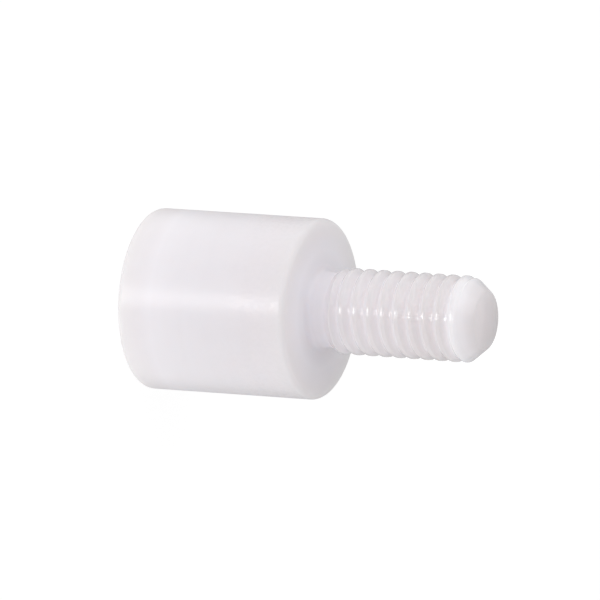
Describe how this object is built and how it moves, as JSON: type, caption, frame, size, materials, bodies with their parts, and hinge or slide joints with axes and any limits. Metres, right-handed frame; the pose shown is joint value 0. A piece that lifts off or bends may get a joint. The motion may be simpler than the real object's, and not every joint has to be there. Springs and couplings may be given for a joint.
{
  "type": "male-female standoff",
  "caption": "Round one-piece plastic standoff with a threaded stud on one end and a blind threaded hole in the other.",
  "frame": {"origin": "centre of the open end's flat face, which the standoff stands on", "axes": "+Z along the axis, from the open end to the tip of the stud; X and Y are free, because the solid is round"},
  "size_m": [0.006, 0.006, 0.0122],
  "materials": {
    "nylon": "natural white nylon, turned, with a soft satin sheen"
  },
  "bodies": {
    "root": {"standoff": "nylon"}
  },
  "joints": []
}
